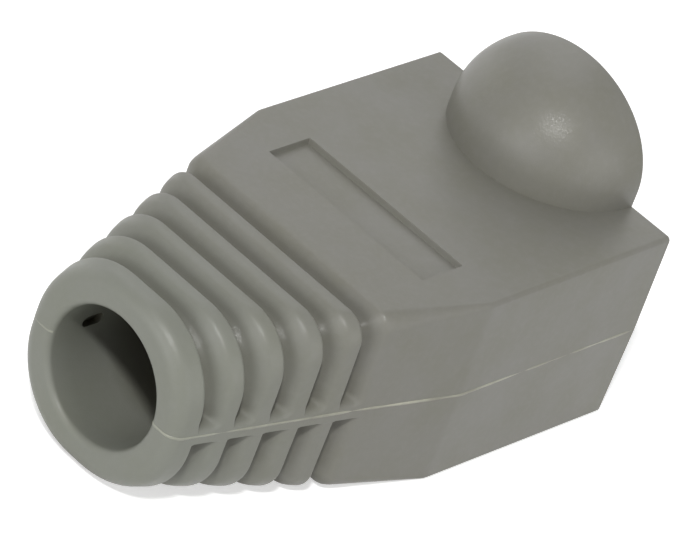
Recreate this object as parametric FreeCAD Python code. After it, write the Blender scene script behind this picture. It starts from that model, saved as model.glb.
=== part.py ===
# Strain relief boot for an RJ45 network plug, moulded in one piece of soft vinyl.
#
# A ribbed, tapering sleeve grips the cable and lets it bend gently. It widens into a rectangular hood
# that slides over the back of the plug, and a hollow quarter dome on the hood shields the plug's latch.
# Frame: origin on the cable's axis at the cable end face, +X towards the plug, +Z up through the dome.
# All sizes are in millimetres.
import FreeCAD, Part

import math
import os

from FreeCAD import Vector

# ---- overall layout along the cable's axis ----
BOOT_LENGTH = 24.6
SHOULDER_X = 13.7          # where the tapering sleeve ends and the straight hood begins
FIRST_GROOVE_X = 1.21      # rear face of the front ring
GROOVE_PITCH = 1.66
GROOVE_COUNT = 5
GROOVE_WIDTH = 1.05
GROOVE_DEPTH = 0.72
GROOVE_PROFILE = [(0.0, 1.0), (0.34, 0.95), (0.81, 0.36)]  # share of the width along, share of the depth down
CREST_INSET = 0.05         # how far under the skin each rib's crest begins; its rear edge meets the skin
PARTING_Z = 0.07           # height of the mould's parting plane

# ---- outer skin: half width at the parting plane, top, bottom and corner radius at each station ----
NOSE_HALF_WIDTH = 4.13
NOSE_TOP = 4.11
NOSE_BOTTOM = -4.2
NOSE_CORNER = 3.9
BODY_HALF_WIDTH = 5.89
BODY_TOP = 4.48
BODY_BOTTOM = -4.22
BODY_CORNER = 0.75
HOOD_HALF_WIDTH = 7.0
HOOD_BOTTOM = -4.4
HOOD_CORNER = 0.2
SHOULDER_TOP = 4.58
REAR_TOP = 4.76
SIDE_DRAFT_DEG = 1.0       # the sides lean in, above and below the parting plane

# ---- edge roundings of the sleeve ----
NOSE_ROUND = 0.55
NOSE_STEPS = 4             # flats that make up the rounding
BORE_LIP_ROUND = 0.3
RIB_BACK_ROUND = 0.14
WEB_HALF_THICKNESS = 0.45  # side webs that tie the ribs together at the parting plane

# ---- inside ----
BORE_RADIUS = 2.88
BORE_LENGTH = 9.6
FUNNEL_RADIUS = 3.3        # at the cavity's floor
CAVITY_FLOOR_X = 14.6      # where the plug's back wall comes to rest
PLUG_WIDTH = 11.68
PLUG_HEIGHT = 6.75
PLUG_CLEARANCE = 0.12      # each side
PLUG_CENTRE_Z = 0.15
CAVITY_CORNER = 0.4
CORE_MARK_X = 2.0          # where each of the two dents in the bore's sides begins
CORE_MARK_LENGTH = 0.6     # between its round ends
CORE_MARK_RADIUS = 0.26
CORE_MARK_DEPTH = 0.3

# ---- latch dome ----
DOME_RADIUS = 4.62
DOME_SPRING = 0.68         # height of the dome's upright wall above the rear edge
DOME_CAP_HEIGHT = 3.87
DOME_WALL = 1.0

# ---- label recess on the top face ----
RECESS_REAR_X = 14.37
RECESS_LENGTH = 2.4
RECESS_WIDTH = 8.95
RECESS_DEPTH = 0.25

PROUD = 0.02               # how far a cut's end lies outside the skin that it runs out to
OVERCUT = 1.0              # how far a cutting tool runs past the face it leaves by

BODY_FRONT_X = FIRST_GROOVE_X + (GROOVE_COUNT - 1) * GROOVE_PITCH + GROOVE_WIDTH


def corner(before, point, after, radius):
    """The start, middle and end of the arc that rounds a polygon's corner."""
    to_before = (before - point).normalize()
    to_after = (after - point).normalize()
    half = to_before.getAngle(to_after) / 2
    reach = radius / math.tan(half)
    bisector = (to_before + to_after).normalize()
    middle = point + bisector * (radius / math.sin(half) - radius)
    return point + to_before * reach, middle, point + to_after * reach


def rounded_outline(x, half_width, top, bottom, radius, lean=0.0):
    """A closed wire across the X axis: flat top and bottom, sides that lean in from the parting plane."""
    top_half = half_width - (top - PARTING_Z) * lean
    bottom_half = half_width - (PARTING_Z - bottom) * lean
    left = Vector(x, half_width, PARTING_Z)
    right = Vector(x, -half_width, PARTING_Z)
    top_left = Vector(x, top_half, top)
    top_right = Vector(x, -top_half, top)
    bottom_right = Vector(x, -bottom_half, bottom)
    bottom_left = Vector(x, bottom_half, bottom)
    ring = [left, top_left, top_right, right, bottom_right, bottom_left]
    edges = []
    here = left
    for i in (1, 2, 4, 5):
        if i == 4:
            edges.append(Part.makeLine(here, right))
            here = right
        start, middle, end = corner(ring[i - 1], ring[i], ring[(i + 1) % 6], radius)
        edges.append(Part.makeLine(here, start))
        edges.append(Part.Arc(start, middle, end).toShape())
        here = end
    edges.append(Part.makeLine(here, left))
    return Part.Wire(edges)


STATIONS = [
    (0.0, NOSE_HALF_WIDTH, NOSE_TOP, NOSE_BOTTOM, NOSE_CORNER),
    (BODY_FRONT_X, BODY_HALF_WIDTH, BODY_TOP, BODY_BOTTOM, BODY_CORNER),
    (SHOULDER_X, HOOD_HALF_WIDTH, SHOULDER_TOP, HOOD_BOTTOM, HOOD_CORNER),
    (BOOT_LENGTH, HOOD_HALF_WIDTH, REAR_TOP, HOOD_BOTTOM, HOOD_CORNER),
]


def skin_sizes(x):
    """Half width, top, bottom and corner radius of the outer skin at x."""
    for near, far in zip(STATIONS, STATIONS[1:]):
        if x <= far[0]:
            break
    share = (x - near[0]) / (far[0] - near[0])
    return [a + (b - a) * share for a, b in zip(near[1:], far[1:])]


def skin(x, inset=0.0):
    """The outer skin's outline at x, or one that lies the inset inside it."""
    half_width, top, bottom, radius = skin_sizes(x)
    lean = math.tan(math.radians(SIDE_DRAFT_DEG))
    return rounded_outline(x, half_width - inset, top - inset, bottom + inset, max(radius - inset, 0.1), lean)


def loft(wires):
    """A solid with straight rulings from each wire to the next."""
    return Part.makeLoft(wires, True, True)


def slab(x_start, x_end):
    """A block across the whole boot between two places along it."""
    reach = 2 * (HOOD_HALF_WIDTH + DOME_RADIUS)
    return Part.makeBox(x_end - x_start, 2 * reach, 2 * reach, Vector(x_start, -reach, -reach))


def outer_body():
    return loft([skin(station[0]) for station in STATIONS])


def nose_rounding():
    """What is cut from the front ring to round its outer edge."""
    angles = [math.pi / 2 * i / NOSE_STEPS for i in range(NOSE_STEPS + 1)]
    wires = [skin(NOSE_ROUND * (1 - math.cos(a)), NOSE_ROUND * (1 - math.sin(a))) for a in angles]
    return slab(-OVERCUT, NOSE_ROUND).cut(loft(wires))


def groove(x):
    """One groove: square behind the rib in front of it, then a soft slope up to the crest of what follows."""
    crest_end = x + GROOVE_PITCH - RIB_BACK_ROUND
    profile = [
        (x - RIB_BACK_ROUND, 0.0),
        (x - RIB_BACK_ROUND / 3, RIB_BACK_ROUND / 4),
        (x, RIB_BACK_ROUND),
    ]
    back = loft([skin(*place) for place in profile])
    profile = [(x + GROOVE_WIDTH * along, GROOVE_DEPTH * deep) for along, deep in GROOVE_PROFILE]
    profile.append((x + GROOVE_WIDTH, CREST_INSET))
    profile.append((crest_end, -PROUD))
    root = loft([skin(*place) for place in profile])
    cutter = slab(x - RIB_BACK_ROUND, crest_end)
    return cutter.cut(root).cut(back).cut(web_slab())


def web_slab():
    """The layer about the parting plane that the grooves leave whole."""
    return slab(0, BODY_FRONT_X + OVERCUT).common(
        Part.makeBox(
            BOOT_LENGTH,
            4 * HOOD_HALF_WIDTH,
            2 * WEB_HALF_THICKNESS,
            Vector(0, -2 * HOOD_HALF_WIDTH, PARTING_Z - WEB_HALF_THICKNESS),
        )
    )


def dome():
    """Half of an upright round form about the middle of the rear edge: a short wall under an elliptical cap."""
    middle = Vector(BOOT_LENGTH, 0, 0)
    centre = middle + Vector(0, 0, REAR_TOP + DOME_SPRING)
    rim = centre + Vector(0, DOME_RADIUS, 0)
    crown = centre + Vector(0, 0, DOME_CAP_HEIGHT)
    foot = middle + Vector(0, DOME_RADIUS, 0)
    cap = Part.ArcOfEllipse(Part.Ellipse(rim, crown, centre), 0, math.pi / 2).toShape()
    outline = [Part.makeLine(middle, foot), Part.makeLine(foot, rim), cap, Part.makeLine(crown, middle)]
    return Part.Face(Part.Wire(outline)).revolve(middle, Vector(0, 0, 1), 180)


def dome_hollow():
    radius = DOME_RADIUS - DOME_WALL
    crown = REAR_TOP + DOME_SPRING + DOME_CAP_HEIGHT - DOME_WALL
    return Part.makeSphere(radius, Vector(BOOT_LENGTH, 0, crown - radius))


def cavity_outline(x):
    half_width = PLUG_WIDTH / 2 + PLUG_CLEARANCE
    half_height = PLUG_HEIGHT / 2 + PLUG_CLEARANCE
    return rounded_outline(
        x, half_width, PLUG_CENTRE_Z + half_height, PLUG_CENTRE_Z - half_height, CAVITY_CORNER
    )


def plug_cavity():
    return loft([cavity_outline(CAVITY_FLOOR_X), cavity_outline(BOOT_LENGTH + OVERCUT)])


def funnel():
    """Guides the cable's cores from the bore out to the plug."""
    length = CAVITY_FLOOR_X - BORE_LENGTH
    return Part.makeCone(BORE_RADIUS, FUNNEL_RADIUS, length, Vector(BORE_LENGTH, 0, 0), Vector(1, 0, 0))


def cable_bore():
    return Part.makeCylinder(BORE_RADIUS, BORE_LENGTH + OVERCUT, Vector(-OVERCUT, 0, 0), Vector(1, 0, 0))


def core_mark(side):
    """The round-ended dent that the mould's core pin leaves in one side of the bore."""
    reach = BORE_RADIUS + CORE_MARK_DEPTH
    start = Vector(CORE_MARK_X, 0, PARTING_Z)
    end = start + Vector(CORE_MARK_LENGTH, 0, 0)
    corner_point = Vector(CORE_MARK_X, min(0, side * reach), PARTING_Z - CORE_MARK_RADIUS)
    middle = Part.makeBox(CORE_MARK_LENGTH, reach, 2 * CORE_MARK_RADIUS, corner_point)
    outward = Vector(0, side, 0)
    return middle.fuse([Part.makeCylinder(CORE_MARK_RADIUS, reach, place, outward) for place in (start, end)])


def label_recess():
    top = skin_sizes(RECESS_REAR_X)[1]
    return Part.makeBox(
        RECESS_LENGTH,
        RECESS_WIDTH,
        RECESS_DEPTH + OVERCUT,
        Vector(RECESS_REAR_X - RECESS_LENGTH, -RECESS_WIDTH / 2, top - RECESS_DEPTH),
    )


def boot():
    shape = outer_body().cut(nose_rounding())
    for i in range(GROOVE_COUNT):
        shape = shape.cut(groove(FIRST_GROOVE_X + i * GROOVE_PITCH))
    shape = shape.fuse(dome())
    shape = shape.cut(label_recess())
    for hollow in (plug_cavity(), dome_hollow(), funnel(), cable_bore(), core_mark(1), core_mark(-1)):
        shape = shape.cut(hollow)
    lip = [e for e in shape.Edges if is_bore_mouth(e)]
    return shape.makeFillet(BORE_LIP_ROUND, lip)


def is_bore_mouth(edge):
    return edge.BoundBox.XMax < 1e-4 and abs(edge.BoundBox.YLength - 2 * BORE_RADIUS) < 1e-3


os.makedirs("parts", exist_ok=True)
shape = boot()
print("solids", len(shape.Solids), "valid", shape.isValid(), "volume mm3", round(shape.Volume, 2))
shape.exportStep("parts/boot.step")
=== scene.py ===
import math

import bmesh
import bpy
import numpy as np
from mathutils import Matrix, Vector


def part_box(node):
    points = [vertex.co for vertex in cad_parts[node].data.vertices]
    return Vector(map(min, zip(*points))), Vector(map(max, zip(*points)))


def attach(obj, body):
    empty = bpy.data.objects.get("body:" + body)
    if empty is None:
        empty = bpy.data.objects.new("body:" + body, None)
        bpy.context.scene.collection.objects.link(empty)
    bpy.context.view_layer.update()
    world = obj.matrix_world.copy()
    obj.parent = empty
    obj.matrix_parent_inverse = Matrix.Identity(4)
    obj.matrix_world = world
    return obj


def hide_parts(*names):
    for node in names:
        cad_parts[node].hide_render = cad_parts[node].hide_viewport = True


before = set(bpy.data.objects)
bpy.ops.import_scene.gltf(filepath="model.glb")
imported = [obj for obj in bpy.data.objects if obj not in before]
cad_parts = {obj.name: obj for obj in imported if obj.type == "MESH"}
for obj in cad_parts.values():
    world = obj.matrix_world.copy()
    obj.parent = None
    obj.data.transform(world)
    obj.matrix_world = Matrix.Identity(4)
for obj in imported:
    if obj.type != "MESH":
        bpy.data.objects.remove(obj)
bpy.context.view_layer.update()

bl_info = {
    "name": "RJ45 strain relief boot",
    "version": (1, 0, 0),
    "blender": (4, 5, 0),
    "location": "3D View > Sidebar > Boot",
    "description": "Builds a ribbed vinyl boot for a network plug, with its parting line and a plain studio",
    "category": "Add Mesh",
}

# A one-piece boot of soft vinyl. Its frame: the origin is the middle of the cable hole at the boot's front
# face, +X runs towards the plug, +Z up through the latch dome. Blender's lengths are in metres. The functions
# that shape the skin work in millimetres, from the dictionaries that read_sizes gives.
MM = 0.001
PER_MM = 1 / MM
LOW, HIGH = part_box("boot")

# small helper sizes, in millimetres
GROOVE_WALL_RUN = 0.004  # the run over which a groove's back wall drops
SHOULDER_SOFT = 0.12  # half the run over which the shoulder's crease is rounded
OVERRUN = 1.0  # how far the skin runs past the rear face before it is trimmed
DOME_FOOT = 0.9  # how deep the dome's solid reaches into the hood

# the flash is thinner in places: by how much, over what length, and which of the random patterns
FLASH_UNEVENNESS = 0.4
FLASH_PATCH = 1.5 * MM
FLASH_SEED = 3.0


def length(name, millimetres, description):
    """A property that holds a length, with its default given in millimetres."""
    return bpy.props.FloatProperty(
        name=name, description=description, default=millimetres * MM,
        soft_max=0.05, unit="LENGTH", precision=5,
    )


def sheen(name, default, description):
    """A property that holds a share from 0 to 1."""
    return bpy.props.FloatProperty(
        name=name, description=description, default=default, min=0.0, max=1.0, subtype="FACTOR",
    )


def linear(hex_colour):
    """An sRGB colour such as "#7c7b74" as linear red, green and blue."""
    shares = [int(hex_colour[i:i + 2], 16) / 255 for i in (1, 3, 5)]
    return [s / 12.92 if s <= 0.04045 else ((s + 0.055) / 1.055) ** 2.4 for s in shares]


def colour(name, hex_colour, description):
    """A property that holds a colour, with its default given as sRGB hex."""
    return bpy.props.FloatVectorProperty(
        name=name, description=description, default=linear(hex_colour), subtype="COLOR", min=0.0, max=1.0,
    )


class BootSizes(bpy.types.PropertyGroup):
    """The sizes of the moulding that a user would change."""

    nose_half_width: length("Nose half width", 4.13, "Half width of the front face before its rounding")
    nose_top: length("Nose top", 4.11, "Height of the front face above the cable's axis")
    nose_drop: length("Nose drop", 4.2, "Depth of the front face below the cable's axis")
    nose_corner: length("Nose corner", 3.9, "Corner radius of the front face's outline")
    body_half_width: length("Body half width", 5.89, "Half width where the last groove ends")
    body_top: length("Body top", 4.48, "Height of the plain body's front")
    body_drop: length("Body drop", 4.22, "Depth of the plain body's front")
    body_corner: length("Body corner", 0.75, "Corner radius of the plain body's front")
    shoulder_x: length("Shoulder", 13.7, "Where the taper ends and the straight hood begins")
    shoulder_top: length("Shoulder top", 4.58, "Height of the hood's front")
    rear_top: length("Rear top", 4.76, "Height of the hood's rear edge, beside the dome")
    hood_corner: length("Hood corner", 0.2, "Radius along the hood's four long edges")
    nose_round: length("Nose rounding", 0.55, "Rounding of the front ring's outer edge")
    lip_round: length("Hole rounding", 0.3, "Rounding of the cable hole's mouth")
    parting_z: length("Parting height", 0.07, "Height of the mould's parting plane")
    web_half: length("Web half thickness", 0.45, "Half thickness of the side webs that join the ribs")
    flash_radius: length("Flash radius", 0.1, "Radius of the flash bead on the parting line")
    flash_proud: length("Flash height", 0.04, "How far the flash stands out of the skin")
    bore_radius: length("Cable hole radius", 2.88, "Radius of the cable hole")
    dome_radius: length("Dome radius", 4.62, "Radius of the latch dome in plan")
    dome_spring: length("Dome wall height", 0.68, "Height of the dome's upright wall")
    dome_wall: length("Dome wall thickness", 1.0, "Thickness of the dome's shell")


class RibSizes(bpy.types.PropertyGroup):
    """The sizes of the grooves that leave the ribs between them."""

    count: bpy.props.IntProperty(name="Grooves", description="Number of grooves", default=5, min=0, max=9)
    first: length("First groove", 1.21, "Back face of the front ring")
    pitch: length("Pitch", 1.66, "Distance from one rib's back face to the next")
    depth: length("Depth", 0.72, "Depth of a groove behind its rib")
    width: length("Width", 1.05, "From a rib's back face to where the next crest begins")
    back_round: length("Back rounding", 0.14, "Rounding of each rib's rear edge")


class RecessSizes(bpy.types.PropertyGroup):
    """The bare label recess on the top face."""

    rear_x: length("Rear wall", 14.37, "Where the recess ends towards the dome")
    run: length("Length", 2.4, "Length along the cable's axis")
    width: length("Width", 8.95, "Width across the top face")
    depth: length("Depth", 0.25, "Depth under the top face")
    draft: length("Wall draft", 0.06, "Run over which its walls go down")


class InsideSizes(bpy.types.PropertyGroup):
    """The rooms inside the boot."""

    floor_x: length("Cavity floor", 14.6, "Where the plug's back comes to rest")
    half_width: length("Cavity half width", 5.96, "Half width of the plug's room")
    top: length("Cavity top", 3.645, "Height of the plug's room above the axis")
    drop: length("Cavity drop", 3.345, "Depth of the plug's room below the axis")
    corner: length("Cavity corner", 0.4, "Corner radius of the plug's room")
    bore_end: length("Cable hole end", 9.6, "Where the cable hole begins to widen")
    funnel_radius: length("Funnel radius", 3.3, "Radius of the widened hole at the cavity's floor")
    mark_x: length("Core mark", 2.0, "Where the dent in each side of the cable hole begins")
    mark_run: length("Core mark length", 0.6, "Length of the dent between its round ends")
    mark_radius: length("Core mark radius", 0.26, "Radius of the dent's round ends")
    mark_depth: length("Core mark depth", 0.3, "Depth of the dent in the hole's wall")


class VinylLooks(bpy.types.PropertyGroup):
    """Colours and gloss of the moulded vinyl."""

    base: colour("Vinyl", "#7c7b74", "Colour of the vinyl")
    pale: colour("Pale bloom", "#82817b", "Colour where the surface is a little paler")
    warm: colour("Warm cloud", "#78776c", "Colour where the pigment is a little warmer")
    # the flash's colour is paler than the vinyl: a painted highlight along the bead's ridge
    flash: colour("Flash", "#b0af9f", "Colour of the thin flash on the parting line")
    cool: colour("Cool end", "#858b80", "Colour towards the cable end")
    # painted shade: the dark olive colour that corners, the grooves and the depth of the cable hole are mixed
    # towards, in place of the shade that falls there
    painted_shade: colour("Corners", "#4a473a", "Colour where dust and mould oil gather")
    roughness: sheen("Roughness", 0.46, "Roughness of the moulded surface")
    gloss: sheen("Gloss", 0.16, "Share of the thin glossy skin")


# ---- the skin as a grid: columns run round the section, rows run along the surface ----
SIDE_STEPS = 6
ARC_STEPS = 14
OUTER_STEPS = 4
INNER_STEPS = 7
RIB_ROWS = 19  # rows from one groove's back wall to the next rib's rounding
FLAT = 0.999  # a normal's upward part from which a place counts as the flat top
SIDE_LEAN = math.radians(1.0)  # mould draft of the sides, away from the parting plane
LEAST_SIDE_SHARE = 0.2  # the side's columns always cover this much of the way to the top
# where the columns on a side web stand, as shares of the web's half thickness
WEB_STEPS = (0.0, 0.2, 0.35, 0.5, 0.65, 0.8, 0.88, 0.95, 1.02, 1.1, 1.25, 1.45)
# where rows and columns cross a wall of the recess, as shares of its draft from its upper edge inwards
RECESS_STEPS = (-0.6, -0.15, 0.0, 0.2, 0.5, 0.8, 1.0, 1.2, 1.8)


class Section:
    """One outline across the cable's axis, in millimetres, as four quarters about the parting plane."""

    def __init__(self, half_width, top, drop, radius, sizes, lean=SIDE_LEAN):
        self.half_width, self.top, self.drop = half_width, top, drop
        self.radius, self.lean = radius, lean
        self.parting = sizes["parting_z"]
        self.web = sizes["web_half"]
        self.reach = self.web * WEB_STEPS[-1]
        self.inner = sizes["recess_columns"]
        self.inner_limit = sizes["recess_limit"]

    def quarter(self, height):
        """Points from the parting plane to the flat's middle: outwards, up, and the normal's two parts."""
        lean, radius, reach = self.lean, self.radius, self.reach
        centre_h = height - radius
        centre_y = self.half_width - centre_h * math.tan(lean) - radius / math.cos(lean)
        side_end = centre_h + radius * math.sin(lean)

        def on_side(h):
            return self.half_width - h * math.tan(lean), h, math.cos(lean), math.sin(lean)

        def on_arc(angle):
            c, s = math.cos(angle), math.sin(angle)
            return centre_y + radius * c, centre_h + radius * s, c, s

        def at_height(h):
            return on_side(h) if h <= side_end else on_arc(math.asin((h - centre_h) / radius))

        side = max(0.0, (side_end - reach) / math.cos(lean))
        first_angle = lean if side_end >= reach else math.asin((reach - centre_h) / radius)
        whole = side + radius * (math.pi / 2 - first_angle)

        def at_distance(d):
            if d <= side:
                return on_side(reach + d * math.cos(lean))
            return on_arc(first_angle + (d - side) / radius)

        split = max(side, LEAST_SIDE_SHARE * whole)
        points = [at_height(self.web * share) for share in WEB_STEPS]
        points += [at_distance(split * (i + 1) / SIDE_STEPS) for i in range(SIDE_STEPS)]
        points += [at_distance(split + (whole - split) * (i + 1) / ARC_STEPS) for i in range(ARC_STEPS)]
        return np.array(points + [(y, height, 0.0, 1.0) for y in self.flats(centre_y)])

    def flats(self, start):
        """Distances from the middle of the columns on the flat top or underside, outermost first."""
        scale = min(1.0, 0.96 * start / self.inner_limit)
        run = self.inner_limit * scale - start
        outer = [start + run * (i + 1) / OUTER_STEPS for i in range(OUTER_STEPS)]
        return outer + [y * scale for y in self.inner]

    def ring(self, inset=0.0):
        """All the section's points in order round it, moved in by the inset, and their normals, as (y, z)."""
        up = self.quarter(self.top - self.parting)
        down = self.quarter(self.drop + self.parting)
        quarters = ((up, 1, 1), (up[::-1], -1, 1), (down, -1, -1), (down[::-1], 1, -1))
        # a quarter's last point is the next one's first: the middle of a flat, or the parting plane
        ring = np.vstack([points[:-1] * (across, rise, across, rise) for points, across, rise in quarters])
        place = ring[:, :2] - ring[:, 2:] * inset
        place[:, 1] += self.parting
        return place, ring[:, 2:]


def eased(value, start, end):
    """0 before the start and 1 after the end, with soft ends between."""
    share = np.clip((np.asarray(value) - start) / (end - start), 0.0, 1.0)
    return share * share * (3 - 2 * share)


def groove_mask():
    """How fully each column follows the grooves, which end softly above the side webs and crisply below."""
    rest = np.ones(SIDE_STEPS + ARC_STEPS + OUTER_STEPS + len(RECESS_STEPS) + INNER_STEPS)
    above = np.concatenate([eased(WEB_STEPS, 0.3, 1.45), rest])
    below = np.concatenate([eased(WEB_STEPS, 0.93, 1.03), rest])
    return np.concatenate([above[:-1], above[::-1][:-1], below[:-1], below[::-1][:-1]])


def property_names(group):
    """The names of a property group's own properties."""
    return [name for name in group.bl_rna.properties.keys() if name not in ("rna_type", "name")]


def in_millimetres(group):
    """A property group's values by name, with the lengths in millimetres."""
    values = {name: getattr(group, name) for name in property_names(group)}
    return {name: value / MM if isinstance(value, float) else value for name, value in values.items()}


def read_sizes(scene):
    """The sizes of the body, ribs, recess and rooms, with those that follow from others."""
    sizes, ribs = in_millimetres(scene.boot_sizes), in_millimetres(scene.boot_ribs)
    recess, inside = in_millimetres(scene.boot_recess), in_millimetres(scene.boot_inside)
    sizes["body_x"] = ribs["first"] + ribs["pitch"] * (ribs["count"] - 1) + ribs["width"]
    edges = [recess["width"] / 2 - recess["draft"] * share for share in RECESS_STEPS]
    sizes["recess_limit"] = edges[0] + recess["draft"]
    sizes["recess_columns"] = edges + [edges[-1] * (1 - (i + 1) / INNER_STEPS) for i in range(INNER_STEPS)]
    return sizes, ribs, recess, inside


def outer_sizes(sizes, x):
    """Half width, top, drop and corner radius of the outer skin at x, without its grooves."""
    drop, corner = -LOW.z / MM, sizes["hood_corner"]
    half_width = HIGH.y / MM - sizes["flash_proud"]
    nose = [sizes["nose_" + part] for part in ("half_width", "top", "drop", "corner")]
    body = [sizes["body_" + part] for part in ("x", "half_width", "top", "drop", "corner")]
    stations = (
        [0.0] + nose,
        body,
        [sizes["shoulder_x"], half_width, sizes["shoulder_top"], drop, corner],
        [HIGH.x / MM, half_width, sizes["rear_top"], drop, corner],
    )
    for near, far in zip(stations, stations[1:]):
        if x <= far[0]:
            break
    share = (x - near[0]) / (far[0] - near[0])
    return [a + (b - a) * share for a, b in zip(near[1:], far[1:])]


def softened_sizes(sizes, x):
    """The outer sizes' mean over a short run either side of x, which rounds the crease at a station."""
    steps = np.linspace(-SHOULDER_SOFT, SHOULDER_SOFT, 9)
    return np.mean([outer_sizes(sizes, x + s) for s in steps], axis=0)


def row_places(sizes, ribs, recess):
    """x of each row of the outer skin behind the nose's rounding."""
    first, pitch, back = ribs["first"], ribs["pitch"], ribs["back_round"]
    rows = list(np.linspace(sizes["flash_proud"] + sizes["nose_round"], first - back, 6)[1:-1])
    turn = [back * math.sin(math.radians(a)) for a in (0, 15, 30, 45, 60, 75)]
    for i in range(ribs["count"]):
        wall = first + pitch * i
        rows += [wall - back + t for t in turn] + [wall - GROOVE_WALL_RUN, wall + GROOVE_WALL_RUN]
        rows += list(np.linspace(wall + GROOVE_WALL_RUN, wall + pitch - back, RIB_ROWS)[1:-1])
    grooves_end = first - back + pitch * ribs["count"]
    front, rear = recess["rear_x"] - recess["run"], recess["rear_x"]
    fine = [share * recess["draft"] for share in RECESS_STEPS]
    rows += list(np.linspace(grooves_end, front - 0.2, 8))
    rows += [front + f for f in fine]
    rows += list(np.arange(front + 0.35, rear - 0.3, 0.15))
    rows += [rear - f for f in reversed(fine)]
    rows += list(np.linspace(rear + 0.3, HIGH.x / MM + OVERRUN, 18))
    return rows


def recess_depth(x, y, recess):
    """Depth of the label recess under the top face at a place."""
    draft = recess["draft"]
    along = eased(x - (recess["rear_x"] - recess["run"]), 0, draft) * eased(recess["rear_x"] - x, 0, draft)
    across = eased(recess["width"] / 2 - np.abs(y), 0, draft)
    return recess["depth"] * along * across


def as_row(x, place):
    """A row of points at one x from their (y, z) places."""
    return np.column_stack([np.full(len(place), x), place])


def circle_row(x, radius, angles):
    """A row of points on a circle about the cable's axis."""
    return as_row(x, np.column_stack([radius * np.cos(angles), radius * np.sin(angles)]))


def nose_rows(sizes):
    """Rows over the rounded outer edge of the front ring."""
    nose, front = sizes["nose_round"], sizes["flash_proud"]
    rows = []
    for a in np.radians(np.linspace(0, 90, 10)):
        x = front + nose * (1 - math.cos(a))
        place, _ = Section(*outer_sizes(sizes, x), sizes).ring(nose * (1 - math.sin(a)))
        rows.append(as_row(x, place))
    return rows


def outer_rows(sizes, ribs, recess):
    """Rows over the rest of the outside, with the recess sunk in, and the way inwards at each point."""
    rows, inward = [], []
    for x in row_places(sizes, ribs, recess):
        place, out = Section(*softened_sizes(sizes, x), sizes).ring()
        place[:, 1] -= recess_depth(x, place[:, 0], recess) * (out[:, 1] > FLAT)
        rows.append(as_row(x, place))
        inward.append(np.column_stack([np.zeros(len(out)), -out]))
    return rows, inward


def room_rows(sizes, inside, angles):
    """Rows back through the plug's room and the cable hole, to the hole's rounded mouth."""
    room = Section(inside["half_width"], inside["top"], inside["drop"], inside["corner"], sizes, lean=0.0)
    wall, _ = room.ring()
    floor = inside["floor_x"]
    rows = [as_row(x, wall) for x in (HIGH.x / MM + OVERRUN, floor + 5.0, floor)]
    rows.append(circle_row(floor, inside["funnel_radius"], angles))
    lip, radius, front = sizes["lip_round"], sizes["bore_radius"], sizes["flash_proud"]
    rows += [circle_row(x, radius, angles) for x in np.linspace(inside["bore_end"], front + lip, 12)]
    for a in np.radians(np.linspace(0, 90, 7)[1:]):
        rows.append(circle_row(front + lip * (1 - math.sin(a)), radius + lip * (1 - math.cos(a)), angles))
    return rows


def mesh_from_rows(name, rows):
    """A mesh closed both ways from equal rows of points in millimetres."""
    count, around = len(rows), len(rows[0])
    points = np.vstack(rows) * MM
    faces = [
        (i * around + j, ((i + 1) % count) * around + j,
         ((i + 1) % count) * around + (j + 1) % around, i * around + (j + 1) % around)
        for i in range(count) for j in range(around)
    ]
    mesh = bpy.data.meshes.new(name)
    mesh.from_pydata(points.tolist(), [], faces)
    return mesh


def new_object(name, mesh):
    """An object in the scene that shows the mesh."""
    thing = bpy.data.objects.new(name, mesh)
    bpy.context.scene.collection.objects.link(thing)
    return thing


# ---- nodes ----
def add(tree, kind, inputs=(), **settings):
    """Adds a node with its settings, and links or sets its inputs by name or number."""
    node = tree.nodes.new(kind)
    for name, value in settings.items():
        setattr(node, name, value)
    for key, value in dict(inputs).items():
        socket = node.inputs[key]
        if isinstance(value, bpy.types.NodeSocket):
            tree.links.new(value, socket)
        else:
            socket.default_value = value
    return node


def new_geometry_tree(name, named_inputs):
    """A Geometry Nodes tree with a geometry input and output, what its named inputs give, and its end."""
    tree = bpy.data.node_groups.new(name, "GeometryNodeTree")
    tree.interface.new_socket("Geometry", in_out="INPUT", socket_type="NodeSocketGeometry")
    for label, kind in named_inputs:
        tree.interface.new_socket(label, in_out="INPUT", socket_type=kind)
    tree.interface.new_socket("Geometry", in_out="OUTPUT", socket_type="NodeSocketGeometry")
    return tree, tree.nodes.new("NodeGroupInput").outputs, tree.nodes.new("NodeGroupOutput")


def apply_tree(thing, tree, values):
    """Runs the tree on the object with values for its named inputs, and keeps the result as a plain mesh."""
    modifier = thing.modifiers.new(tree.name, "NODES")
    modifier.node_group = tree
    for item in tree.interface.items_tree:
        if item.in_out == "INPUT" and item.name in values:
            modifier[item.identifier] = values[item.name]
    return keep_evaluated(thing)


def keep_evaluated(thing):
    """A new object with the thing's evaluated mesh. The old object goes."""
    bpy.context.view_layer.update()
    graph = bpy.context.evaluated_depsgraph_get()
    evaluated = thing.evaluated_get(graph)
    mesh = bpy.data.meshes.new_from_object(evaluated, preserve_all_data_layers=True, depsgraph=graph)
    name = thing.name
    if not mesh.polygons:
        raise RuntimeError(f"{name} came out without any face")
    thing.modifiers.clear()
    bpy.data.objects.remove(thing)
    mesh.name = name
    return new_object(name, mesh)


GROOVE_CURVE = (  # share of the pitch behind a rib's back face, share of the groove's depth, kind of bend
    (0.0, 1.0, "VECTOR"),
    (0.1, 0.99, "AUTO"),
    (0.22, 0.95, "AUTO"),
    (0.35, 0.81, "AUTO"),
    (0.48, 0.48, "AUTO"),
    (0.57, 0.21, "AUTO"),
    (0.63, 0.085, "AUTO"),
    (0.7, 0.035, "AUTO"),
    (0.8, 0.01, "AUTO"),
    (0.9157, 0.0, "VECTOR"),
    (0.9399, 0.008, "VECTOR"),
    (0.9651, 0.039, "VECTOR"),
    (0.9834, 0.084, "VECTOR"),
    (0.9952, 0.135, "VECTOR"),
    (1.0, 0.19, "VECTOR"),
)


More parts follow.
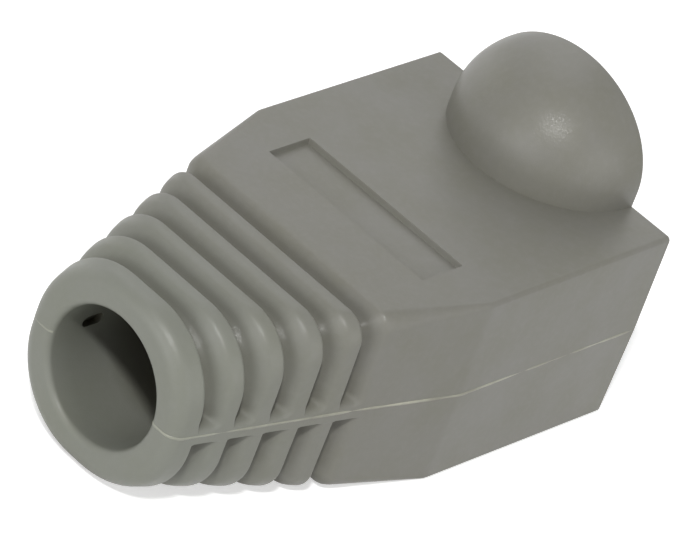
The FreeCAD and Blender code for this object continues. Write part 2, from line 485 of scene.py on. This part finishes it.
def set_curve(node, bends):
    """Gives a Float Curve node its points, each with its kind of bend."""
    points = node.mapping.curves[0].points
    for at, deep, _ in bends[1:-1]:
        points.new(at, deep)
    for point, (at, deep, bend) in zip(points, bends):
        point.location = (at, deep)
        point.handle_type = bend
    node.mapping.update()


def end_tree(tree, geometry, material, result):
    """Ends a tree with real geometry in its material."""
    real = add(tree, "GeometryNodeRealizeInstances", {0: geometry})
    dressed = add(tree, "GeometryNodeSetMaterial", {"Geometry": real.outputs[0], "Material": material})
    tree.links.new(dressed.outputs[0], result.inputs[0])


def grooved_stretch(tree, given, behind):
    """1 along the grooves, which start a rounding before the first back face and fill whole pitches."""
    start = add(tree, "ShaderNodeMath", {0: behind, 1: given["Back rounding"]}, operation="ADD")
    whole = add(tree, "ShaderNodeMath", {0: given["Pitch"], 1: given["Grooves"]}, operation="MULTIPLY")
    begun = add(tree, "ShaderNodeMath", {0: start.outputs[0], 1: 0.0}, operation="GREATER_THAN")
    ended = add(tree, "ShaderNodeMath", {0: start.outputs[0], 1: whole.outputs[0]}, operation="LESS_THAN")
    both = add(tree, "ShaderNodeMath", {0: begun.outputs[0], 1: ended.outputs[0]}, operation="MULTIPLY")
    return both.outputs[0]


def groove_tree():
    """Cuts equal grooves into a skin: each point moves along its own inward direction."""
    tree, given, result = new_geometry_tree("rib_grooves", (
        ("First groove", "NodeSocketFloat"), ("Pitch", "NodeSocketFloat"), ("Grooves", "NodeSocketInt"),
        ("Depth", "NodeSocketFloat"), ("Back rounding", "NodeSocketFloat"),
        ("Material", "NodeSocketMaterial"),
    ))
    place = add(tree, "GeometryNodeInputPosition")
    along = add(tree, "ShaderNodeSeparateXYZ", {0: place.outputs[0]}).outputs["X"]
    behind = add(tree, "ShaderNodeMath", {
        0: along, 1: given["First groove"],
    }, operation="SUBTRACT").outputs[0]
    turns = add(tree, "ShaderNodeMath", {0: behind, 1: given["Pitch"]}, operation="DIVIDE")
    part = add(tree, "ShaderNodeMath", {0: turns.outputs[0]}, operation="FRACT")
    profile = add(tree, "ShaderNodeFloatCurve", {"Value": part.outputs[0]})
    set_curve(profile, GROOVE_CURVE)
    within = grooved_stretch(tree, given, behind)
    share = add(tree, "GeometryNodeInputNamedAttribute", {"Name": "groove_share"}, data_type="FLOAT")
    inward = add(tree, "GeometryNodeInputNamedAttribute", {"Name": "inward"}, data_type="FLOAT_VECTOR")
    deep = add(tree, "ShaderNodeMath", {0: profile.outputs[0], 1: given["Depth"]}, operation="MULTIPLY")
    masked = add(tree, "ShaderNodeMath", {0: share.outputs[0], 1: within}, operation="MULTIPLY")
    amount = add(tree, "ShaderNodeMath", {0: deep.outputs[0], 1: masked.outputs[0]}, operation="MULTIPLY")
    move = add(tree, "ShaderNodeVectorMath", {
        0: inward.outputs[0], "Scale": amount.outputs[0],
    }, operation="SCALE")
    moved = add(tree, "GeometryNodeSetPosition", {"Geometry": given["Geometry"], "Offset": move.outputs[0]})
    end_tree(tree, moved.outputs[0], given["Material"], result)
    return tree


def flash_tree():
    """Runs a thin bead of uneven thickness along every line of a wire mesh."""
    tree, given, result = new_geometry_tree("parting_flash", (
        ("Radius", "NodeSocketFloat"), ("Unevenness", "NodeSocketFloat"), ("Patch", "NodeSocketFloat"),
        ("Seed", "NodeSocketFloat"), ("Material", "NodeSocketMaterial"),
    ))
    path = add(tree, "GeometryNodeMeshToCurve", {0: given["Geometry"]})
    place = add(tree, "GeometryNodeInputPosition")
    patches = add(tree, "ShaderNodeMath", {0: 1.0, 1: given["Patch"]}, operation="DIVIDE")
    noise = add(tree, "ShaderNodeTexNoise", {
        "Vector": place.outputs[0], "W": given["Seed"], "Scale": patches.outputs[0], "Detail": 3.0,
    }, noise_dimensions="4D")
    least = add(tree, "ShaderNodeMath", {0: 1.0, 1: given["Unevenness"]}, operation="SUBTRACT")
    share = add(tree, "ShaderNodeMapRange", {
        "Value": noise.outputs[0], "From Min": 0.35, "From Max": 0.65, "To Min": least.outputs[0],
    })
    profile = add(tree, "GeometryNodeCurvePrimitiveCircle", {
        "Resolution": 10, "Radius": given["Radius"],
    }, mode="RADIUS")
    bead = add(tree, "GeometryNodeCurveToMesh", {
        "Curve": path.outputs[0], "Profile Curve": profile.outputs["Curve"],
        "Scale": share.outputs[0], "Fill Caps": True,
    })
    end_tree(tree, bead.outputs[0], given["Material"], result)
    return tree


# ---- pieces ----
def skin_mesh(sizes, ribs, recess, inside):
    """The whole body but its dome as one grid, with the attributes that the groove tree reads."""
    nose = nose_rows(sizes)
    outer, inward = outer_rows(sizes, ribs, recess)
    room = room_rows(sizes, inside, np.arctan2(nose[0][:, 2], nose[0][:, 1]))
    mesh = mesh_from_rows("boot_body", nose + outer + room)
    mask = groove_mask()
    none, still = np.zeros(len(mask)), np.zeros((len(mask), 3))
    shares = [none] * len(nose) + [mask] * len(outer) + [none] * len(room)
    ways = [still] * len(nose) + inward + [still] * len(room)
    share = mesh.attributes.new("groove_share", "FLOAT", "POINT")
    share.data.foreach_set("value", np.concatenate(shares).astype(np.float32))
    way = mesh.attributes.new("inward", "FLOAT_VECTOR", "POINT")
    way.data.foreach_set("vector", np.vstack(ways).astype(np.float32).ravel())
    return mesh


def merged(mesh):
    """Joins points that lie together and turns the faces outwards."""
    work = bmesh.new()
    work.from_mesh(mesh)
    bmesh.ops.remove_doubles(work, verts=work.verts, dist=MM * 1e-4)
    bmesh.ops.recalc_face_normals(work, faces=work.faces)
    work.to_mesh(mesh)
    work.free()


def from_work(name, work):
    """An object from the mesh in work, with its faces turned outwards."""
    bmesh.ops.recalc_face_normals(work, faces=work.faces)
    mesh = bpy.data.meshes.new(name)
    work.to_mesh(mesh)
    work.free()
    return new_object(name, mesh)


def turned(name, profile, around=128):
    """A closed round solid about the upright line through the rear edge's middle, from (radius, height)."""
    work = bmesh.new()
    rings = []
    for radius, height in profile:
        ring = []
        for i in range(around if radius else 1):
            a = 2 * math.pi * i / around
            ring.append(work.verts.new((
                HIGH.x + radius * MM * math.cos(a), radius * MM * math.sin(a), height * MM,
            )))
        rings.append(ring)
    for low, high in zip(rings, rings[1:]):
        for i in range(around):
            j = (i + 1) % around
            loop = [low[i % len(low)], low[j % len(low)], high[j % len(high)], high[i % len(high)]]
            work.faces.new(list(dict.fromkeys(loop)))
    return from_work(name, work)


def dome_profile(sizes):
    """(radius, height) of the dome's outside, from its foot inside the hood to its crown, in millimetres."""
    foot = sizes["rear_top"] - DOME_FOOT
    spring = sizes["rear_top"] + sizes["dome_spring"]
    rise = HIGH.z / MM - spring
    radius = sizes["dome_radius"]
    profile = [(0.0, foot), (radius, foot), (radius, sizes["rear_top"] - 0.3), (radius, spring - 0.34)]
    arc = np.radians(np.linspace(0, 90, 33))
    profile += [(radius * math.cos(a), spring + rise * math.sin(a)) for a in arc[:-1]]
    return profile + [(0.0, spring + rise)]


def hollow_profile(sizes):
    """(radius, height) of the round room under the dome, in millimetres."""
    radius = sizes["dome_radius"] - sizes["dome_wall"]
    centre = HIGH.z / MM - sizes["dome_wall"] - radius
    turn = np.radians(np.linspace(-90, 90, 41))
    middle = [(radius * math.cos(a), centre + radius * math.sin(a)) for a in turn[1:-1]]
    return [(0.0, centre - radius)] + middle + [(0.0, centre + radius)]


def block(name, low, high):
    """A plain box between two corners."""
    work = bmesh.new()
    bmesh.ops.create_cube(work, size=1.0)
    low, high = Vector(low), Vector(high)
    for v in work.verts:
        v.co = (low + high) / 2 + Vector([c * run for c, run in zip(v.co, high - low)])
    return from_work(name, work)


def core_marks(sizes, inside):
    """A round-ended bar through both sides of the cable hole, whose tips leave the dents."""
    reach = sizes["bore_radius"] + inside["mark_depth"]
    radius, height = inside["mark_radius"], sizes["parting_z"]
    outline = []
    for middle, start in ((inside["mark_x"], 90), (inside["mark_x"] + inside["mark_run"], -90)):
        for turn in np.radians(np.linspace(start, start + 180, 13)):
            outline.append((middle + radius * math.cos(turn), height + radius * math.sin(turn)))
    work = bmesh.new()
    ends = [[work.verts.new((x * MM, y * MM, z * MM)) for x, z in outline] for y in (-reach, reach)]
    work.faces.new(ends[0])
    work.faces.new(ends[1][::-1])
    for i in range(len(outline)):
        work.faces.new((ends[0][i - 1], ends[0][i], ends[1][i], ends[1][i - 1]))
    return from_work("core_marks", work)


def combine(thing, tool, operation):
    """The thing joined with, or cut by, the tool. The tool goes."""
    modifier = thing.modifiers.new(tool.name, "BOOLEAN")
    modifier.operation = operation
    modifier.solver = "EXACT"
    modifier.object = tool
    result = keep_evaluated(thing)
    bpy.data.objects.remove(tool)
    return result


def finish_shading(thing, sharp_degrees=32.0):
    """Smooth shading that breaks at sharp edges, with large flat faces leading the normals."""
    for face in thing.data.polygons:
        face.use_smooth = True
    thing.data.set_sharp_from_angle(angle=math.radians(sharp_degrees))
    weighted = thing.modifiers.new("flat_faces_lead", "WEIGHTED_NORMAL")
    weighted.keep_sharp = True
    weighted.weight = 50
    return keep_evaluated(thing)


def one_material(thing, material):
    """Gives all of a piece's faces the one material."""
    thing.data.materials.clear()
    thing.data.materials.append(material)
    for face in thing.data.polygons:
        face.material_index = 0


# ---- materials ----
# Sizes of the vinyl's patterns, in millimetres. The real grain of a spark-eroded mould is nearer 0.03 mm, and
# is drawn coarser so that it shows.
CLOUD = 2.6
FLECK = 0.3
WAVE = 0.9
GRAIN = 0.09


def empty_tree(owner):
    """The node tree of a material or world, switched on and emptied."""
    owner.use_nodes = True
    owner.node_tree.nodes.clear()
    return owner.node_tree


def pigment(tree, place, along, cloud, looks, main_colour):
    """The vinyl's own colour: its pigment mixed a little unevenly into soft warm clouds and pale flecks."""
    fleck = add(tree, "ShaderNodeTexNoise", {"Vector": place, "Scale": PER_MM / FLECK, "Detail": 3.0})
    cloudy = add(tree, "ShaderNodeMapRange", {
        "Value": cloud, "From Min": 0.35, "From Max": 0.65, "To Max": 0.7,
    })
    flecked = add(tree, "ShaderNodeMapRange", {
        "Value": fleck.outputs[0], "From Min": 0.45, "From Max": 0.8, "To Max": 0.4,
    })
    base = add(tree, "ShaderNodeMix", {
        0: cloudy.outputs[0], 6: (*main_colour, 1.0), 7: (*looks.warm, 1.0),
    }, data_type="RGBA")
    tinted = add(tree, "ShaderNodeMix", {
        0: flecked.outputs[0], 6: base.outputs[2], 7: (*looks.pale, 1.0),
    }, data_type="RGBA")
    # the colour is a little cooler towards the cable end
    cooler = add(tree, "ShaderNodeMapRange", {
        "Value": along, "From Min": 1 * MM, "From Max": 9 * MM, "To Min": 0.4, "To Max": 0.0,
    })
    return add(tree, "ShaderNodeMix", {
        0: cooler.outputs[0], 6: tinted.outputs[2], 7: (*looks.cool, 1.0),
    }, data_type="RGBA").outputs[2]


def painted_hole_shade(tree, place, along):
    """How much painted shade darkens a place: only inside the cable hole, and more with depth."""
    flat = add(tree, "ShaderNodeVectorMath", {0: place, 1: (0.0, 1.0, 1.0)}, operation="MULTIPLY")
    off_axis = add(tree, "ShaderNodeVectorMath", {0: flat.outputs[0]}, operation="LENGTH")
    in_hole = add(tree, "ShaderNodeMath", {0: off_axis.outputs["Value"], 1: 3.35 * MM}, operation="LESS_THAN")
    deep = add(tree, "ShaderNodeMapRange", {
        "Value": along, "From Min": 3.2 * MM, "From Max": 5.0 * MM, "To Max": 0.75,
    })
    depth_shade = add(tree, "ShaderNodeMath", {0: in_hole.outputs[0], 1: deep.outputs[0]}, operation="MULTIPLY")
    return depth_shade.outputs[0]


def painted_corner_shade(tree, along):
    """How much painted shade darkens a place: it fills corners, most of all between the ribs, wherever the
    ambient occlusion finds the place closed in.
    """
    open_sky = add(tree, "ShaderNodeAmbientOcclusion", {"Distance": 1.0 * MM}, samples=12)
    corner = add(tree, "ShaderNodeMapRange", {
        "Value": open_sky.outputs["AO"], "From Min": 0.3, "From Max": 0.88, "To Min": 0.95, "To Max": 0.0,
    })
    ribbed = add(tree, "ShaderNodeMapRange", {
        "Value": along, "From Min": 8 * MM, "From Max": 11 * MM, "To Min": 1.0, "To Max": 0.2,
    })
    painted_shade = add(tree, "ShaderNodeMath", {0: corner.outputs[0], 1: ribbed.outputs[0]}, operation="MULTIPLY")
    return painted_shade.outputs[0]


def moulded_grain(tree, place):
    """Two bumps: the surface's own waves and grain, and the stronger grain on which its gloss glints."""
    grain = add(tree, "ShaderNodeTexNoise", {"Vector": place, "Scale": PER_MM / GRAIN, "Detail": 2.0})
    waves = add(tree, "ShaderNodeTexNoise", {"Vector": place, "Scale": PER_MM / WAVE, "Detail": 2.0})
    height = add(tree, "ShaderNodeMath", {
        0: waves.outputs[0], 1: 3.0, 2: grain.outputs[0],
    }, operation="MULTIPLY_ADD")
    skin = add(tree, "ShaderNodeBump", {"Height": height.outputs[0], "Strength": 0.5, "Distance": 0.006 * MM})
    glint = add(tree, "ShaderNodeBump", {"Height": grain.outputs[0], "Strength": 1.0, "Distance": 0.02 * MM})
    return skin.outputs[0], glint.outputs[0]


def vinyl_material(name, looks, main_colour):
    """Moulded flexible PVC: a satin, slightly cloudy grey with the fine grain of a spark-eroded mould."""
    material = bpy.data.materials.new(name)
    tree = empty_tree(material)
    place = add(tree, "ShaderNodeTexCoord").outputs["Object"]
    along = add(tree, "ShaderNodeSeparateXYZ", {0: place}).outputs["X"]
    cloud = add(tree, "ShaderNodeTexNoise", {
        "Vector": place, "Scale": PER_MM / CLOUD, "Detail": 4.0, "Roughness": 0.55,
    }).outputs[0]
    clean = pigment(tree, place, along, cloud, looks, main_colour)
    # painted shade: the corners, the grooves and the depth of the cable hole are turned darker and a little
    # olive
    painted_shade_share = add(tree, "ShaderNodeMath", {
        0: painted_corner_shade(tree, along), 1: painted_hole_shade(tree, place, along),
    }, operation="MAXIMUM")
    with_painted_shade = add(tree, "ShaderNodeMix", {
        0: painted_shade_share.outputs[0], 6: clean, 7: (*looks.painted_shade, 1.0),
    }, data_type="RGBA")
    rough = add(tree, "ShaderNodeMapRange", {
        "Value": cloud, "To Min": looks.roughness - 0.06, "To Max": looks.roughness + 0.06,
    })
    skin, glint = moulded_grain(tree, place)
    # the plasticiser gives a thin gloss of its own over the satin
    surface = add(tree, "ShaderNodeBsdfPrincipled", {
        "Base Color": with_painted_shade.outputs[2], "Roughness": rough.outputs[0], "Normal": skin,
        "IOR": 1.53, "Specular IOR Level": 0.3,
        "Coat Weight": looks.gloss, "Coat Roughness": 0.16, "Coat IOR": 1.45, "Coat Normal": glint,
    })
    add(tree, "ShaderNodeOutputMaterial", {"Surface": surface.outputs[0]})
    return material


# ---- operators ----
def flash_path(sizes):
    """(x, distance from the middle) of the bead, in mm: over the front face and back along one side."""
    nose, front = sizes["nose_round"], sizes["flash_proud"]
    lip, radius = sizes["lip_round"], sizes["bore_radius"]
    inset = sizes["flash_radius"] - front
    path = []
    for a in np.radians(np.linspace(30, 90, 5)):
        turn = lip - inset
        path.append((front + lip - turn * math.sin(a), radius + lip - turn * math.cos(a)))
    for a in np.radians(np.linspace(0, 90, 9)):
        turn = nose - inset
        wide = outer_sizes(sizes, front + nose * (1 - math.cos(a)))[0]
        path.append((front + nose - turn * math.cos(a), wide - nose + turn * math.sin(a)))
    for x in np.arange(front + nose + 0.3, HIGH.x / MM - 0.1, 0.15):
        path.append((x, softened_sizes(sizes, x)[0] - inset))
    return path


class BOOT_OT_flash(bpy.types.Operator):
    """Adds the thin flash that the mould's halves leave along both sides and across the front ring"""

    bl_idname = "boot.flash"
    bl_label = "Parting flash"

    def execute(self, context):
        scene = context.scene
        sizes, *_ = read_sizes(scene)
        path = flash_path(sizes)
        points = [(x * MM, side * y * MM, sizes["parting_z"] * MM) for side in (-1, 1) for x, y in path]
        # one line on each side, with no edge from the first line's end to the second line's start
        edges = [(i, i + 1) for i in range(len(points) - 1) if i != len(path) - 1]
        mesh = bpy.data.meshes.new("parting_flash")
        mesh.from_pydata(points, edges, [])
        # the flash gets the pale flash colour, a painted highlight along its ridge
        material = vinyl_material("flash_vinyl", scene.boot_looks, scene.boot_looks.flash)
        flash = apply_tree(new_object("parting_flash", mesh), flash_tree(), {
            "Radius": scene.boot_sizes.flash_radius, "Unevenness": FLASH_UNEVENNESS,
            "Patch": FLASH_PATCH, "Seed": FLASH_SEED, "Material": material,
        })
        for face in flash.data.polygons:
            face.use_smooth = True
        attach(flash, "root")
        return {"FINISHED"}


class BOOT_OT_body(bpy.types.Operator):
    """Builds the one-piece boot: ribbed sleeve, hood, latch dome and the rooms inside"""

    bl_idname = "boot.body"
    bl_label = "Boot body"

    def execute(self, context):
        scene = context.scene
        sizes, ribs, recess, inside = read_sizes(scene)
        skin = new_object("boot_body", skin_mesh(sizes, ribs, recess, inside))
        material = vinyl_material("moulded_vinyl", scene.boot_looks, scene.boot_looks.base)
        body = apply_tree(skin, groove_tree(), {
            "First groove": scene.boot_ribs.first, "Pitch": scene.boot_ribs.pitch,
            "Grooves": scene.boot_ribs.count, "Depth": scene.boot_ribs.depth,
            "Back rounding": scene.boot_ribs.back_round, "Material": material,
        })
        merged(body.data)
        body = combine(body, turned("dome", dome_profile(sizes)), "UNION")
        body = combine(body, turned("dome_hollow", hollow_profile(sizes)), "DIFFERENCE")
        body = combine(body, core_marks(sizes, inside), "DIFFERENCE")
        far = Vector((2 * HIGH.x, 3 * HIGH.y, 3 * HIGH.z))
        body = combine(body, block("rear_trim", (HIGH.x, -far.y, -far.z), far), "DIFFERENCE")
        body = finish_shading(body)
        one_material(body, material)
        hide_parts("boot")
        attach(body, "root")
        return {"FINISHED"}


# ---- stage ----
CAMERA_PLACE = Vector((-127.04, -92.04, 110.16)) * MM
CAMERA_TARGET = Vector((12.67, -0.41, 1.51)) * MM
CAMERA_ROLL = math.radians(20.756)
SENSOR_WIDTH = 36.0  # mm
LENS = 263.9296  # mm
WHITE = (1.0, 1.0, 1.0, 1.0)


def camera(context):
    """A long lens that looks down on the boot from its front left, tilted a little."""
    data = bpy.data.cameras.new("camera")
    data.sensor_width = SENSOR_WIDTH
    data.lens = LENS
    data.clip_start, data.clip_end = 0.01, 10.0
    view = bpy.data.objects.new("camera", data)
    context.scene.collection.objects.link(view)
    ahead = (CAMERA_TARGET - CAMERA_PLACE).normalized()
    right = ahead.cross(Vector((0, 0, 1))).normalized()
    right = math.cos(CAMERA_ROLL) * right + math.sin(CAMERA_ROLL) * right.cross(ahead)
    up = right.cross(ahead)
    turn = Matrix((right, up, -ahead)).transposed().to_4x4()
    view.matrix_world = Matrix.Translation(CAMERA_PLACE) @ turn
    context.scene.camera = view


# where each light comes from (compass angle from +X and height, in degrees), its share of full white on a
# facing surface, and how wide it looks from the boot, in degrees
LIGHTS = {
    "key": (206.6, 51.0, 0.54, 5.0),
    "front_card": (180.0, 10.0, 0.355, 40.0),
    "side_card": (270.0, 12.0, 0.245, 40.0),
    "back_top": (60.0, 62.0, 0.11, 40.0),
    "back_side": (45.0, 35.0, 0.1, 40.0),
    "right_side": (315.0, 35.0, 0.05, 40.0),
    "far_side": (90.0, 10.0, 0.1, 40.0),
}


def distant_light(context, name, compass, height, share, width):
    """A far light that gives a facing white surface its share of full white."""
    data = bpy.data.lights.new(name, "SUN")
    data.energy, data.angle = share * math.pi, math.radians(width)
    lamp = bpy.data.objects.new(name, data)
    context.scene.collection.objects.link(lamp)
    compass, height = math.radians(compass), math.radians(height)
    flat = math.cos(height)
    towards = Vector((flat * math.cos(compass), flat * math.sin(compass), math.sin(height)))
    lamp.rotation_euler = towards.to_track_quat("Z", "Y").to_euler()
    lamp.location = (LOW + HIGH) / 2 + towards * 0.1


def looked_at(tree):
    """1 for a ray seen straight, reflected or through something clear, and 0 for one that scatters."""
    path = add(tree, "ShaderNodeLightPath")
    seen = add(tree, "ShaderNodeMath", {
        0: path.outputs["Is Camera Ray"], 1: path.outputs["Is Glossy Ray"],
    }, operation="MAXIMUM")
    return add(tree, "ShaderNodeMath", {
        0: seen.outputs[0], 1: path.outputs["Is Transmission Ray"],
    }, operation="MAXIMUM").outputs[0]


def studio_world():
    """Surroundings that show as white and give only a little soft light."""
    world = bpy.data.worlds.new("studio")
    tree = empty_tree(world)
    soft = add(tree, "ShaderNodeBackground", {"Color": WHITE, "Strength": 0.02})
    white = add(tree, "ShaderNodeBackground", {"Color": WHITE, "Strength": 1.0})
    mixed = add(tree, "ShaderNodeMixShader", {0: looked_at(tree), 1: soft.outputs[0], 2: white.outputs[0]})
    add(tree, "ShaderNodeOutputWorld", {"Surface": mixed.outputs[0]})
    return world


def floor_material():
    """Matt white paper, which keeps the boot's shadow and otherwise shows as white."""
    material = bpy.data.materials.new("white_paper")
    tree = empty_tree(material)
    paper = add(tree, "ShaderNodeBsdfDiffuse", {"Color": (0.9, 0.9, 0.9, 1.0)})
    glow = add(tree, "ShaderNodeEmission", {"Color": WHITE, "Strength": 0.55})
    lifted = add(tree, "ShaderNodeAddShader", {0: paper.outputs[0], 1: glow.outputs[0]})
    mixed = add(tree, "ShaderNodeMixShader", {0: looked_at(tree), 1: paper.outputs[0], 2: lifted.outputs[0]})
    add(tree, "ShaderNodeOutputMaterial", {"Surface": mixed.outputs[0]})
    return material


class BOOT_OT_stage(bpy.types.Operator):
    """Sets up the camera, a plain pale floor and soft studio light"""

    bl_idname = "boot.stage"
    bl_label = "Studio"

    def execute(self, context):
        scene = context.scene
        camera(context)
        scene.view_settings.view_transform = "Standard"
        for name, light in LIGHTS.items():
            distant_light(context, name, *light)
        floor = block("floor", (-2, -2, LOW.z - 0.01), (2, 2, LOW.z))
        floor.data.materials.append(floor_material())
        scene.world = studio_world()
        return {"FINISHED"}


class BOOT_PT_panel(bpy.types.Panel):
    """Lists the boot's steps and sizes in the 3D view's sidebar"""

    bl_label = "Boot"
    bl_idname = "BOOT_PT_panel"
    bl_space_type = "VIEW_3D"
    bl_region_type = "UI"
    bl_category = "Boot"

    def draw(self, context):
        for operator in OPERATORS:
            self.layout.operator(operator.bl_idname)
        for name in GROUPS:
            group = getattr(context.scene, name)
            box = self.layout.box()
            for key in property_names(group):
                box.prop(group, key)


GROUPS = {
    "boot_sizes": BootSizes,
    "boot_ribs": RibSizes,
    "boot_recess": RecessSizes,
    "boot_inside": InsideSizes,
    "boot_looks": VinylLooks,
}
OPERATORS = (BOOT_OT_body, BOOT_OT_flash, BOOT_OT_stage)


def register():
    for kind in (*GROUPS.values(), *OPERATORS, BOOT_PT_panel):
        bpy.utils.register_class(kind)
    for name, group in GROUPS.items():
        setattr(bpy.types.Scene, name, bpy.props.PointerProperty(type=group))


def unregister():
    for name in GROUPS:
        delattr(bpy.types.Scene, name)
    for kind in (BOOT_PT_panel, *reversed(OPERATORS), *reversed(GROUPS.values())):
        bpy.utils.unregister_class(kind)


def main():
    register()
    for operator in OPERATORS:
        module, name = operator.bl_idname.split(".")
        getattr(getattr(bpy.ops, module), name)()


if __name__ == "__main__":
    main()
